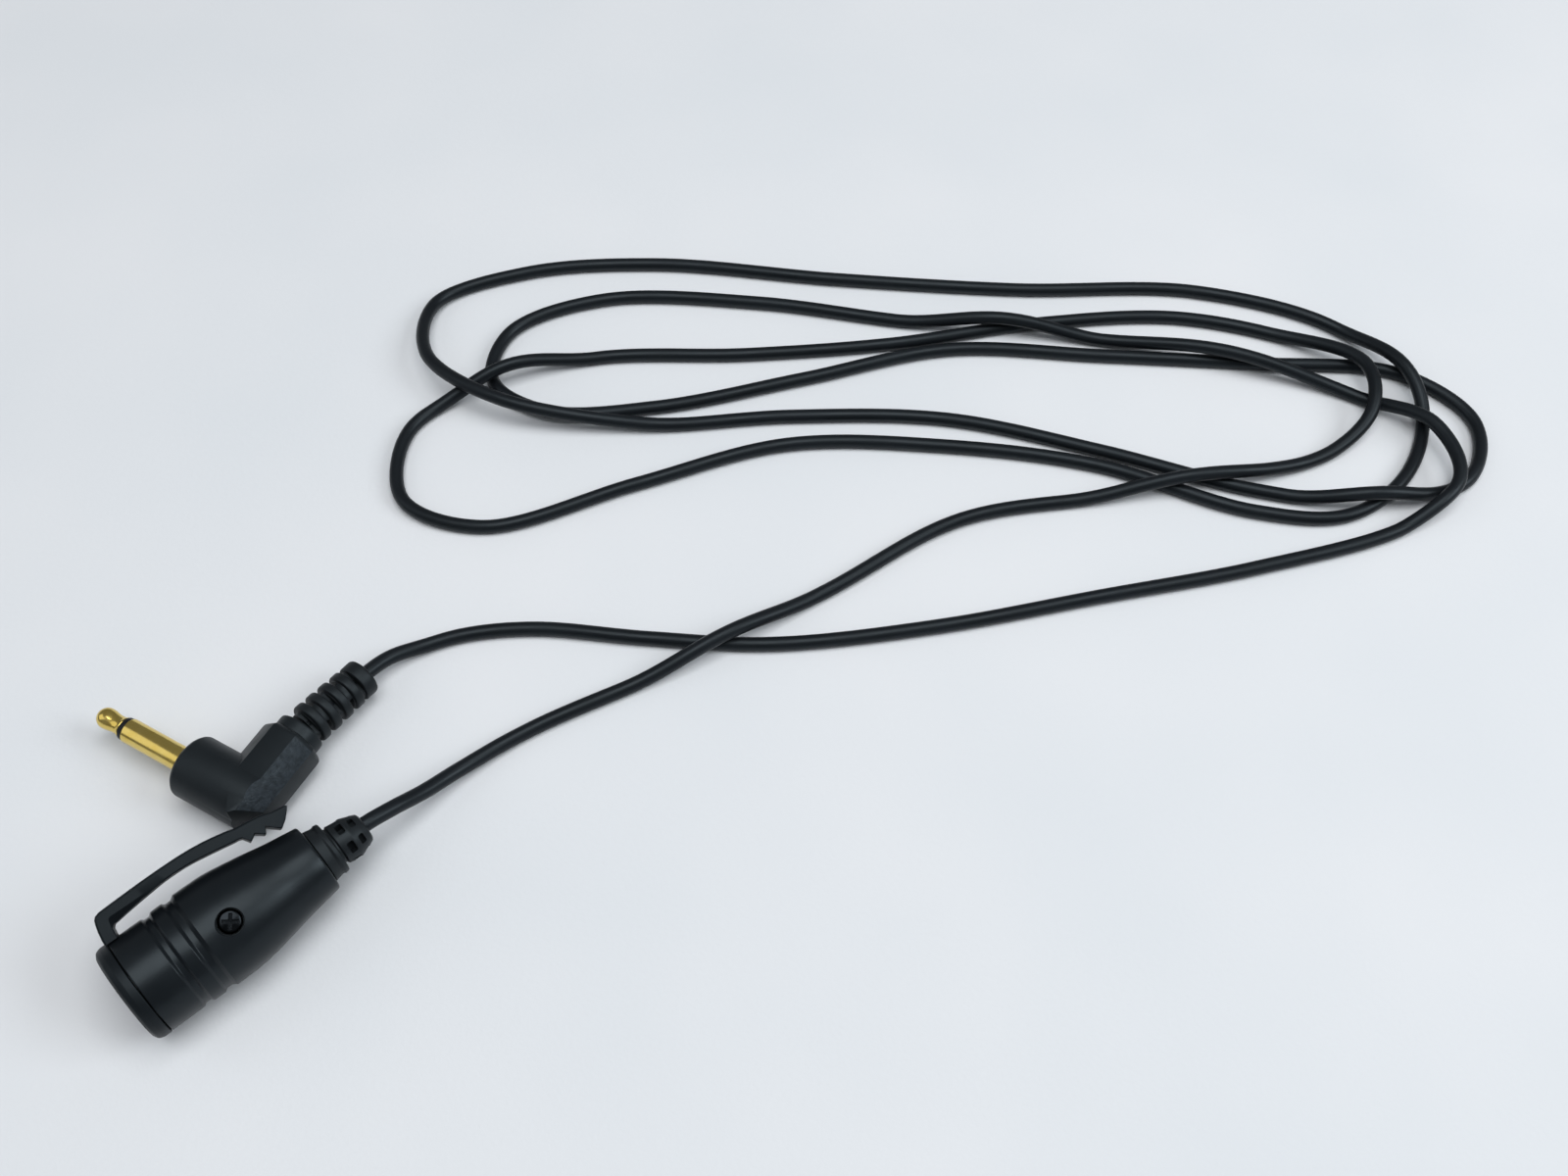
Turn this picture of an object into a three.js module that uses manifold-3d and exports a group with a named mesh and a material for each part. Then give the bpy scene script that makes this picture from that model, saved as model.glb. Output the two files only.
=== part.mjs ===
// A clip-on microphone: a tapered barrel with a spring clip on a turning front ring, a thin cord
// laid in four loose turns, and a right-angle 3.5 mm plug.
// Millimetres. +Z is up and z = 0 is the table. The barrel lies along X, its front towards -X.

import * as THREE from 'three';
import { mergeVertices } from 'three/addons/utils/BufferGeometryUtils.js';
import Module from 'manifold-3d';

const wasm = await Module();
wasm.setup();

// ---- Driving dimensions -------------------------------------------------------------------------

const FINE = 40;                    // facets round the barrel
const MEDIUM = 28;                  // facets round the plug and the capsule
const COARSE = 16;                  // facets round small pins and wires
const GAP = 0.3;                    // room left between pieces that meet
const SLIT = 0.12;                  // parting line between the two shells

const BARREL_R = 6.8;               // widest radius, on which the barrel lies
const BARREL_LENGTH = 27.3;         // front face to the shells' rear face
const FRONT_R = 6.6;                // cylinder behind the front ring
const ROLL = THREE.MathUtils.degToRad(28.4);      // how far the barrel has rolled on the table
const MIC_AXIS = [-17.05, -1.71, BARREL_R + 0.01];      // the axis at the front face

const RING_LENGTH = 2.0;            // front ring that carries the clip
const RING_BORE = 6.05;
const RING_LIP_R = 5.5;             // its rear lip, which runs in the shells' groove
const MOUTH_R = 4.9;                // sound opening in the ring
const FLANGE_R = 5.75;              // front flange of the shells, which keeps the ring on
const FLANGE_FRONT = 1.2;
const NECK_R = 5.2;

const CLIP_WIDTH = 5;
const HINGE = [3.15, 9.3];          // [along the barrel, out from its axis] of the clip's bend
const KNUCKLE_R = 0.85;

const SCREW_X = 14.5;
const SCREW_R = 0.95;
const SCREW_HEAD_R = 1.5;
const SCREW_HOLE_R = 1.7;

const CAPSULE_R = 4.85;             // the common 9.7 mm electret capsule
const CAPSULE_FRONT = 3.75;
const CAPSULE_REAR = 8.9;

const CORD_R = 1.05;
const CORD_SIDES = 8;
const CORD_BORE_R = 1.35;
const RELIEF_END = 34.1;            // where the cord leaves the microphone

const PLUG_TIP = [16.86, 39.2];     // pin's end, from the microphone's axis at its front
const PLUG_TURN = THREE.MathUtils.degToRad(-70.8);
const PLUG_R = 4.4;                 // round part of the plug's body, which lies on the table
const PIN_R = 1.75;                 // 3.5 mm plug
const PIN_TIP_X = 0.3;
const PLUG_FACE = 16.2;             // shoulder that the pin comes out of
const BLOCK_X = 25.9;               // axis of the eight-sided block, across the pin's axis
const BLOCK_INRADIUS = 4.05;
const BLOCK_LOW = -4.1;
const BLOCK_HIGH = 9.6;
const BEVEL_RISE = 6.25;            // height of the outer bevels' planes above the block's axis
const CORNER_CUT_X = 26.8;          // where the slanted cut meets the round part's side
const COLLAR_END = 11.3;
const PLUG_RELIEF_START = new THREE.Vector3(26.0, 11.65, 0);
const PLUG_RELIEF_END = new THREE.Vector3(27.35, 22.6, -1.1);

// The cord's route, seen from above, from the microphone's axis at its front. A third number is the
// height of the cord's middle where it doesn't lie on the table.
const MICROPHONE_LEAD = [
  [34.5, 0, 6.7], [38.5, 0.1, 5.6], [43, 0.4, 3.7], [49, 0.8, 2], [59, 0], [82, -6], [105.5, -10.5],
  [129, -14.5], [149.5, -27],
];
const TURN_1 = [
  [170, -39.5], [181, -43.5], [190, -43], [196, -37], [195, -27.5], [184.5, -10], [166, 5],
  [145.5, 17.5], [126.5, 31.5], [108, 47], [91.5, 54], [77.5, 54.5], [69, 44], [75, 32], [97, 23],
  [119, 13.5], [136.5, -2.5],
];
const TURN_2 = [
  [151.5, -21], [162.5, -42.5], [172.5, -52.5], [186, -53.5], [198, -46.5], [201.5, -29],
  [191, -8], [169, 12.5], [148.5, 34], [128.5, 56.5], [111, 69.5], [96, 73.5], [87.5, 63.5],
  [90, 48], [104.5, 31.5], [123.5, 17], [141, 0.5],
];
const TURN_3 = [
  [154, -19.5], [166, -40.5], [177.5, -54], [191.5, -60.5], [201.5, -54.5], [201, -41],
  [185, -23.5], [168.5, -6.5], [151.5, 10.5], [130, 21.5], [109, 32.5], [95.5, 43.5], [93, 54],
  [101.5, 60.5], [117, 56], [135.5, 38.5], [150.5, 19.5],
];
const TURN_4 = [
  [166.5, 1.5], [180.5, -18], [192, -39], [194, -51.5], [188.5, -60], [177, -59.5],
];
const PLUG_LEAD = [
  [155, -49.5], [134, -37.5], [113, -25.5], [93.5, -12], [81, 0.5], [70, 12.5], [62, 18.3],
  [56.5, 20.5, 1.3], [51.8, 21.4, 2.4], [47.6, 20.9, 3.3],
];

// Where the cord passes over itself: [distance along the plan route, lift, half the hump's length].
const HUMPS = [
  [55, 2.4, 16], [132, 2.6, 20], [172, 3.0, 19], [313.5, 2.8, 14], [528, 2.6, 13],
  [718, 3.6, 34], [856, 2.6, 13], [1139, 2.5, 17], [1175, 2.6, 22], [1209, 2.9, 13],
  [1221, 2.4, 12],
];
const CORD_SAMPLES = 2000;
const CORD_STEPS = 82;
const BEND_WEIGHT = 48;             // length that a turn of one radian counts for in the steps

// ---- Materials ----------------------------------------------------------------------------------

const shellPlastic = new THREE.MeshStandardMaterial({ color: 0x14181b, roughness: 0.38 });
const clipPlastic = new THREE.MeshStandardMaterial({ color: 0x191d20, roughness: 0.45 });
const softBlack = new THREE.MeshStandardMaterial({ color: 0x15191d, roughness: 0.6 });
const cordJacket = new THREE.MeshStandardMaterial({ color: 0x0f1418, roughness: 0.5 });
const gold = new THREE.MeshStandardMaterial({ color: 0xd8b350, roughness: 0.2, metalness: 1 });
const blackSteel = new THREE.MeshStandardMaterial({ color: 0x26282a, roughness: 0.35, metalness: 1 });
const aluminium = new THREE.MeshStandardMaterial({ color: 0xb9bcbf, roughness: 0.3, metalness: 1 });
const mesh = new THREE.MeshStandardMaterial({ color: 0x202225, roughness: 0.4, metalness: 1 });
const foam = new THREE.MeshStandardMaterial({ color: 0x1a1a1c, roughness: 0.95 });
const insulator = new THREE.MeshStandardMaterial({ color: 0x101112, roughness: 0.5 });
const board = new THREE.MeshStandardMaterial({ color: 0x2f5a38, roughness: 0.5 });
const redWire = new THREE.MeshStandardMaterial({ color: 0xa22a24, roughness: 0.5 });
const bareWire = new THREE.MeshStandardMaterial({ color: 0xb87a4a, roughness: 0.3, metalness: 1 });

// ---- Shape helpers ------------------------------------------------------------------------------

// A solid of revolution about X. The profile's points are [x, radius], with the outer side running
// towards +X, and it starts and ends on the axis or closes on itself.
function turned(profile, segments = FINE, phase = 0) {
  const points = profile.map(([x, radius]) => new THREE.Vector2(radius, x));
  return new THREE.LatheGeometry(points, segments, phase).rotateZ(-Math.PI / 2);
}

// A ring about X: the same, closed back to its first point.
function ring(profile, segments = FINE) {
  return turned([...profile, profile[0]], segments);
}

function disc(front, rear, radius, segments = MEDIUM) {
  return turned([[front, 0], [front, radius], [rear, radius], [rear, 0]], segments);
}

// A round bar that runs from low to high along Y or Z, with its axis through (x, other).
function barAlongY(x, z, low, high, radius, segments = COARSE) {
  const bar = new THREE.CylinderGeometry(radius, radius, high - low, segments);
  return bar.translate(x, (low + high) / 2, z);
}

function barAlongZ(x, low, high, radius, segments = COARSE) {
  const bar = new THREE.CylinderGeometry(radius, radius, high - low, segments);
  return bar.rotateX(Math.PI / 2).translate(x, 0, (low + high) / 2);
}

function block([x0, x1], [y0, y1], [z0, z1]) {
  const box = new THREE.BoxGeometry(x1 - x0, y1 - y0, z1 - z0);
  return box.translate((x0 + x1) / 2, (y0 + y1) / 2, (z0 + z1) / 2);
}

// A plate cut to an outline in the XY plane, its thickness centred on z = 0.
function plate(outline, thickness) {
  const shape = new THREE.Shape(outline.map(([x, y]) => new THREE.Vector2(x, y)));
  const options = { depth: thickness, bevelEnabled: false, steps: 1 };
  return new THREE.ExtrudeGeometry(shape, options).translate(0, 0, -thickness / 2);
}

// A straight bar along Y whose section is an outline in the XZ plane.
function barOfSection(outline, low, high) {
  return plate(outline, high - low).rotateX(Math.PI / 2).translate(0, (low + high) / 2, 0);
}

function tube(path, radius, sides, steps) {
  const section = new THREE.Shape();
  for (let side = 0; side < sides; side++) {
    const angle = (2 * Math.PI * side) / sides;
    const point = [radius * Math.cos(angle), radius * Math.sin(angle)];
    if (side === 0) section.moveTo(...point);
    else section.lineTo(...point);
  }
  section.closePath();
  return new THREE.ExtrudeGeometry(section, { extrudePath: path, steps, bevelEnabled: false });
}

function wire(points, radius) {
  const path = new THREE.CatmullRomCurve3(points.map((point) => new THREE.Vector3(...point)));
  return tube(path, radius, 6, 10);
}

function toSolid(geometry) {
  const bare = geometry.clone();
  bare.deleteAttribute('normal');
  bare.deleteAttribute('uv');
  const merged = mergeVertices(bare, 1e-5);
  const corners = merged.index.array;
  const triangles = [];
  for (let i = 0; i < corners.length; i += 3) {
    const [a, b, c] = corners.slice(i, i + 3);
    if (a !== b && b !== c && c !== a) triangles.push(a, b, c);
  }
  return new wasm.Manifold(new wasm.Mesh({
    numProp: 3,
    vertProperties: new Float32Array(merged.attributes.position.array),
    triVerts: new Uint32Array(triangles),
  }));
}

function toGeometry(solid) {
  const result = solid.getMesh();
  const geometry = new THREE.BufferGeometry();
  geometry.setAttribute('position', new THREE.BufferAttribute(result.vertProperties, 3));
  geometry.setIndex(new THREE.BufferAttribute(result.triVerts, 1));
  geometry.computeVertexNormals();
  return geometry;
}

// The first geometry, joined with those in add and then cut by those in cut.
function combine(base, { add = [], cut = [], keep = [] }) {
  let solid = toSolid(base);
  for (const piece of add) solid = solid.add(toSolid(piece));
  for (const piece of cut) solid = solid.subtract(toSolid(piece));
  for (const piece of keep) solid = solid.intersect(toSolid(piece));
  return toGeometry(solid);
}

function part(group, name, geometry, material) {
  const piece = new THREE.Mesh(geometry, material);
  piece.name = name;
  group.add(piece);
  return piece;
}

// ---- The microphone -----------------------------------------------------------------------------
// In this group the barrel's axis is X, the clip stands out along +Y and the screw along +Z.

// The outside of the two shells: flange and neck for the ring, front cylinder, two grooves with a
// band between them, and a long convex taper with a rounded rear edge.
function shellOutside() {
  const taper = new THREE.SplineCurve([
    new THREE.Vector2(11.1, BARREL_R), new THREE.Vector2(14.5, 6.75), new THREE.Vector2(18.6, 6.15),
    new THREE.Vector2(22.8, 5.35), new THREE.Vector2(26.4, 4.75),
  ]).getPoints(9).map(({ x, y }) => [x, y]);
  return [
    [FLANGE_FRONT, FLANGE_R], [1.5, FLANGE_R], [1.5, NECK_R], [RING_LENGTH + 0.15, NECK_R],
    [RING_LENGTH + 0.15, FRONT_R - 0.12], [RING_LENGTH + 0.27, FRONT_R], [6.6, FRONT_R],
    [6.95, 6.3], [7.45, 6.3], [7.8, 6.65], [9.3, 6.7], [9.75, 6.3], [10.5, 6.35],
    ...taper, [27.1, 4.66], [BARREL_LENGTH, 4.4],
  ];
}

// The inside, from the rear hole forward: rear wall, cavity, the rib that stops the capsule's boot,
// and the bore that the boot sits in.
const SHELL_INSIDE = [
  [BARREL_LENGTH, 2.8], [25.6, 2.8], [25.6, 3.9], [20, 4.5], [11.5, 5.4], [10.4, 5.4],
  [10.4, 4.9], [9.6, 4.9], [9.6, 5.6], [3.1, 5.6], [3.1, 4.75], [FLANGE_FRONT, 4.75],
];

const HEAD_SEAT = 5.0;
const ROOM = 20;                    // a half-space's reach, larger than the microphone

function upperShell() {
  const boss = barAlongZ(SCREW_X, SLIT / 2, 5.6, 2.8, MEDIUM);
  const recess = barAlongZ(SCREW_X, HEAD_SEAT, 8, SCREW_HOLE_R, MEDIUM);
  const hole = barAlongZ(SCREW_X, -1, 6, SCREW_R + 0.2);
  const half = block([-1, 40], [-ROOM, ROOM], [SLIT / 2, ROOM]);
  return combine(ring([...shellOutside(), ...SHELL_INSIDE]), {
    add: [boss], cut: [recess, hole], keep: [half],
  });
}

function lowerShell() {
  const boss = barAlongZ(SCREW_X, -5.6, -SLIT / 2, 2.4, MEDIUM);
  const pilot = barAlongZ(SCREW_X, -4.4, 1, SCREW_R + 0.15);
  const half = block([-1, 40], [-ROOM, ROOM], [-ROOM, -SLIT / 2]);
  return combine(ring([...shellOutside(), ...SHELL_INSIDE]), {
    add: [boss], cut: [pilot], keep: [half],
  });
}

// The screw that holds the shells together: a low head with a cross cut in it, on a plain shank.
function shellScrew() {
  const top = 6.2;
  const seat = HEAD_SEAT + 0.15;
  const shank = barAlongZ(SCREW_X, -3.6, seat + 0.2, SCREW_R);
  const head = barAlongZ(SCREW_X, seat, top, SCREW_HEAD_R, MEDIUM);
  const arm = 0.95;
  const half = 0.17;
  const across = block([SCREW_X - arm, SCREW_X + arm], [-half, half], [top - 0.7, top + 1]);
  const along = block([SCREW_X - half, SCREW_X + half], [-arm, arm], [top - 0.7, top + 1]);
  return combine(head, { add: [shank], cut: [across, along] });
}

// The front ring with the clip's root on it. The root leans back over the front cylinder, clear of
// it, so the ring can turn; its top is hollowed round the clip's bend.
function clipRing() {
  const body = ring([
    [0, MOUTH_R], [0, 5.7], [0.12, 6.05], [0.4, 6.4], [0.9, 6.62], [RING_LENGTH, 6.62],
    [RING_LENGTH, RING_LIP_R], [1.8, RING_LIP_R], [1.8, RING_BORE], [0.45, RING_BORE],
    [0.45, MOUTH_R],
  ]);
  const root = plate([[1.2, 6.3], [3.5, 6.3], [3.6, 7.7], [3.62, 8.6], [2.3, 8.9], [2.05, 8.2],
    [1.7, 6.9]], CLIP_WIDTH);
  const overShell = disc(RING_LENGTH, 8, FRONT_R + GAP - 0.05, FINE);
  const inRing = disc(-1, RING_LENGTH, RING_BORE + 0.1, FINE);
  const bend = barAlongZ(0, -CLIP_WIDTH, CLIP_WIDTH, KNUCKLE_R + GAP).translate(...HINGE, 0);
  const rootOnly = combine(root, { cut: [overShell, inRing, bend] });
  return combine(body, { add: [rootOnly] });
}

// The clip's arm: a long bowed blade that ends in three saw teeth and a slanted tip.
function clipArm() {
  const upper = [
    [3.2, 10.12], [6.1, 10.22], [8.9, 10.28], [11.7, 10.28], [14.5, 10.2], [17.2, 9.94],
    [20, 9.42], [22.4, 9], [24.8, 8.5], [26.2, 8.15], [27.3, 7.85],
  ];
  const tip = [[27.7, 7.5], [27.5, 7], [25.85, 5.6]];
  const teeth = [[24.4, 6.9], [23.8, 6.15], [22.9, 6.95], [21.95, 6.45], [21.35, 7.45]];
  const under = [
    [20, 7.7], [17.2, 8.2], [14.5, 8.62], [11.7, 8.74], [8.9, 8.62], [6.1, 8.2], [3.95, 7.95],
    [3.95, 8.6], [3.2, 8.6],
  ];
  const blade = plate([...under.reverse(), ...teeth.reverse(), ...tip.reverse(), ...upper.reverse()],
    CLIP_WIDTH);
  const knuckle = barAlongZ(0, -CLIP_WIDTH / 2, CLIP_WIDTH / 2, KNUCKLE_R, MEDIUM);
  return combine(blade, { add: [knuckle.translate(...HINGE, 0)] });
}

// A thin plate with a hole in its middle and two rings of holes round it.
function grille() {
  const front = 0.7;
  const rear = 0.95;
  const holes = [];
  for (const [count, distance] of [[1, 0], [6, 1.75], [12, 3.5]]) {
    for (let i = 0; i < count; i++) {
      const angle = (2 * Math.PI * i) / count;
      const hole = new THREE.CylinderGeometry(0.6, 0.6, 2, 10).rotateZ(Math.PI / 2);
      holes.push(hole.translate(front, distance * Math.cos(angle), distance * Math.sin(angle)));
    }
  }
  return combine(disc(front, rear, RING_BORE - GAP, FINE), { cut: holes });
}

// The strain relief: a flange inside the shells, a neck in the rear wall, a collar with a raised
// lip, and a nose with two rows of six windows that tapers towards the cord.
function microphoneStrainRelief() {
  const windows = [];
  for (const [front, rear, half] of [[30.8, 31.7, 0.75], [32.5, 33.2, 0.65]]) {
    for (const degrees of [-5, 55, 115]) {
      const across = block([front, rear], [-4, 4], [-half, half]);
      windows.push(across.rotateX(THREE.MathUtils.degToRad(degrees)));
    }
  }
  const body = ring([
    [24.2, CORD_BORE_R], [24.2, 3.55], [25.3, 3.55], [25.3, 2.5], [BARREL_LENGTH + GAP, 2.5],
    [BARREL_LENGTH + GAP, 3.7], [28.7, 3.5], [29.0, 3.65], [29.5, 3.55], [29.6, 2.6],
    [30.1, 2.8], [31.8, 2.8], [33.2, 2.3], [33.9, 1.95], [RELIEF_END, 1.7],
    [RELIEF_END, CORD_BORE_R],
  ], MEDIUM);
  return combine(body, { cut: windows });
}

function addCapsule(group) {
  const boot = [
    [3.3, 4.2], [3.3, 5.45], [9.3, 5.45], [9.3, CAPSULE_R + 0.15],
    [3.6, CAPSULE_R + 0.15], [3.6, 4.2],
  ];
  part(group, 'capsule_boot', ring(boot), softBlack);
  const can = [
    [CAPSULE_FRONT, 0.8], [CAPSULE_FRONT, CAPSULE_R], [CAPSULE_REAR, CAPSULE_R],
    [CAPSULE_REAR, 3.9], [CAPSULE_REAR - 0.25, 3.9], [CAPSULE_REAR - 0.25, 4.65],
    [CAPSULE_FRONT + 0.25, 4.65], [CAPSULE_FRONT + 0.25, 0.8],
  ];
  part(group, 'capsule_can', ring(can), aluminium);
  part(group, 'capsule_diaphragm', disc(4.15, 4.3, 4.5), gold);
  part(group, 'capsule_backplate', disc(4.55, 4.95, 4.3), aluminium);
  part(group, 'capsule_chamber_ring', ring([[5.1, 3.9], [5.1, 4.5], [7.5, 4.5], [7.5, 3.9]], MEDIUM),
    insulator);
  part(group, 'capsule_transistor', block([6.1, 7.4], [-1.45, 1.45], [-0.75, 0.75]), insulator);
  part(group, 'capsule_circuit_board', disc(7.65, 8.45, 4.5), board);
}

// The cord's two leads, from the capsule's board past the screw's boss to the strain relief.
function leadPath(side) {
  return [
    [8.6, 1.8 * side, 0], [10.5, 2.8 * side, 0], [14.5, 4 * side, 0], [19, 3 * side, 0],
    [23, 1.2 * side, 0], [24.6, 0.55 * side, 0],
  ];
}

function microphone() {
  const group = new THREE.Group();
  part(group, 'upper_shell', upperShell(), shellPlastic);
  part(group, 'lower_shell', lowerShell(), shellPlastic);
  part(group, 'shell_screw', shellScrew(), blackSteel);
  part(group, 'clip_ring', clipRing(), clipPlastic);
  part(group, 'clip_arm', clipArm(), clipPlastic);
  part(group, 'front_grille', grille(), mesh);
  part(group, 'wind_foam_disc', disc(1.25, 3, 4.5), foam);
  addCapsule(group);
  part(group, 'signal_wire', wire(leadPath(1), 0.35), redWire);
  part(group, 'ground_wire', wire(leadPath(-1), 0.35), bareWire);
  part(group, 'mic_strain_relief', microphoneStrainRelief(), softBlack);
  part(group, 'cord_end_in_mic', disc(24.9, RELIEF_END - 0.05, CORD_R, CORD_SIDES), cordJacket);
  group.position.set(...MIC_AXIS);
  group.rotation.x = ROLL;
  return group;
}

// ---- The plug -----------------------------------------------------------------------------------
// In this group the pin's axis is X, its tip near the origin, and the cord leaves towards +Y.

function plugTip() {
  return turned([
    [PIN_TIP_X, 0], [0.42, 0.72], [0.8, 1.18], [1.5, 1.45], [2.2, 1.45], [3.3, 1.3], [4.3, 1.34],
    [4.7, 1.5], [4.75, 0.6], [19.6, 0.6], [19.6, 0],
  ], MEDIUM);
}

function plugInsulator() {
  const rear = PLUG_FACE + 2.7;
  return ring([[4.9, 0.75], [4.9, 1.62], [5.42, 1.7], [5.42, 1.05], [rear, 1.05], [rear, 0.75]],
    MEDIUM);
}

function plugSleeve() {
  const flange = PLUG_FACE + 0.8;
  const rear = PLUG_FACE + 2.1;
  return ring([
    [5.6, 1.2], [5.6, PIN_R], [flange, PIN_R], [flange, 2.7], [rear, 2.7], [rear, 1.2],
  ], MEDIUM);
}

// The block: an eight-sided bar along Y, chamfered at its far end. The inner half of its near end
// runs out into the round part, and its outer side is left oversize.
function oversizeBlock(flat) {
  const inner = BLOCK_X - BLOCK_INRADIUS;
  const beyond = BLOCK_X + BLOCK_INRADIUS + 3;
  const bar = barOfSection([
    [inner, -flat], [BLOCK_X - flat, -BLOCK_INRADIUS], [beyond, -BLOCK_INRADIUS],
    [beyond, BLOCK_INRADIUS], [BLOCK_X - flat, BLOCK_INRADIUS], [inner, flat],
  ], BLOCK_LOW, BLOCK_HIGH);
  const runOutStart = -1.4;
  const runOutEnd = BLOCK_X + 1.1;
  const runOut = plate([
    [inner - 1, runOutStart], [BLOCK_X - 0.7, runOutStart], [runOutEnd, BLOCK_LOW - 0.1],
    [runOutEnd, -ROOM], [inner - 1, -ROOM],
  ], ROOM);
  const chamfer = 0.9;
  const corner = BLOCK_INRADIUS / Math.cos(Math.PI / 8);
  const flare = BLOCK_HIGH - BLOCK_LOW;
  const pyramid = turned([
    [BLOCK_LOW, 0], [BLOCK_LOW, corner - chamfer + flare], [BLOCK_HIGH, corner - chamfer],
    [BLOCK_HIGH, 0],
  ], 8, Math.PI / 8).rotateZ(Math.PI / 2).translate(BLOCK_X, 0, 0);
  return combine(bar, { cut: [runOut], keep: [pyramid] });
}

// The moulded body: a round part about the pin runs into the block across it. Both end in the
// block's three outer faces, a slanted cut takes their corner off, and there is room inside for
// the contacts and a bore for the cord.
function plugBody() {
  const flat = BLOCK_INRADIUS * Math.tan(Math.PI / 8);
  const outer = BLOCK_X + BLOCK_INRADIUS;
  const round = turned([
    [PLUG_FACE, 0], [PLUG_FACE, 3.7], [PLUG_FACE + 0.2, 4.2], [PLUG_FACE + 0.65, PLUG_R],
    [outer + 1, PLUG_R], [outer + 1, 0],
  ], MEDIUM, Math.PI / MEDIUM);
  const solid = combine(round, { add: [oversizeBlock(flat)] });
  const outerFaces = barOfSection([
    [0, -BEVEL_RISE], [BLOCK_X, -BEVEL_RISE], [outer, -flat], [outer, flat],
    [BLOCK_X, BEVEL_RISE], [0, BEVEL_RISE],
  ], -ROOM, ROOM);
  const collar = barAlongY(BLOCK_X, 0, BLOCK_HIGH - 1, COLLAR_END, 3.3, MEDIUM);
  const cornerCut = block([-8, 8], [-8, 0], [-8, 8]).rotateZ(Math.PI / 4)
    .translate(CORNER_CUT_X, -PLUG_R, 0);
  const contacts = disc(PLUG_FACE + 0.6, BLOCK_X + 1.3, 3, MEDIUM);
  const pinBore = disc(PLUG_FACE - 1, PLUG_FACE + 1, PIN_R + 0.2, MEDIUM);
  const cordBore = barAlongY(BLOCK_X, 0, 0, COLLAR_END + 1, CORD_BORE_R);
  const trimmed = combine(solid, { keep: [outerFaces] });
  return combine(trimmed, { add: [collar], cut: [cornerCut, contacts, pinBore, cordBore] });
}

// The ribbed strain relief: five rounded ribs on a thinner core, the last one a longer end collar.
function plugStrainRelief() {
  const core = 2.2;
  const profile = [[0, CORD_BORE_R], [0, core]];
  for (const [middle, half, radius] of [
    [1.4, 0.62, 3], [3.45, 0.62, 2.95], [5.6, 0.62, 2.9], [7.8, 0.62, 2.8], [10.05, 0.95, 2.75],
  ]) {
    profile.push([middle - half, core], [middle - half * 0.75, radius - 0.15], [middle, radius]);
    profile.push([middle + half * 0.75, radius - 0.15], [middle + half, core]);
  }
  const end = PLUG_RELIEF_START.distanceTo(PLUG_RELIEF_END);
  profile[profile.length - 1] = [end, core];
  profile.push([end, CORD_BORE_R]);
  return ring(profile, 20);
}

function plug() {
  const group = new THREE.Group();
  part(group, 'plug_tip', plugTip(), gold);
  part(group, 'plug_insulator', plugInsulator(), insulator);
  part(group, 'plug_sleeve', plugSleeve(), gold);
  part(group, 'plug_tip_lug', block([19.9, 24.2], [-0.8, 0.8], [-0.2, 0.2]), gold);
  part(group, 'plug_sleeve_lug', block([PLUG_FACE + 2.4, 23.4], [-0.9, 0.9], [-2.3, -1.9]), gold);
  part(group, 'plug_body', plugBody(), softBlack);

  const relief = part(group, 'plug_strain_relief', plugStrainRelief(), softBlack);
  const direction = PLUG_RELIEF_END.clone().sub(PLUG_RELIEF_START).normalize();
  relief.quaternion.setFromUnitVectors(new THREE.Vector3(1, 0, 0), direction);
  relief.position.copy(PLUG_RELIEF_START);

  const cordEnd = new THREE.CatmullRomCurve3([
    new THREE.Vector3(BLOCK_X, 3.6, 0), new THREE.Vector3(BLOCK_X, 7.5, 0),
    PLUG_RELIEF_START.clone(), PLUG_RELIEF_END.clone().lerp(PLUG_RELIEF_START, 0.01),
  ]);
  part(group, 'cord_end_in_plug', tube(cordEnd, CORD_R, CORD_SIDES, 8), cordJacket);
  part(group, 'plug_signal_wire', wire([[25.55, 3.3, 0.5], [25.4, 2.2, 0.8], [24.8, 1.2, 0.8],
    [23.4, 0.3, 0.62]], 0.35), redWire);
  part(group, 'plug_ground_wire', wire([[26.25, 3.3, -0.5], [26.1, 2, -1.2], [25, 1, -1.6],
    [22.6, 0.3, -1.48]], 0.35), bareWire);

  group.position.set(MIC_AXIS[0] + PLUG_TIP[0], MIC_AXIS[1] + PLUG_TIP[1], PLUG_R);
  group.rotation.z = PLUG_TURN;
  return group;
}

// ---- The cord -----------------------------------------------------------------------------------

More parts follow.
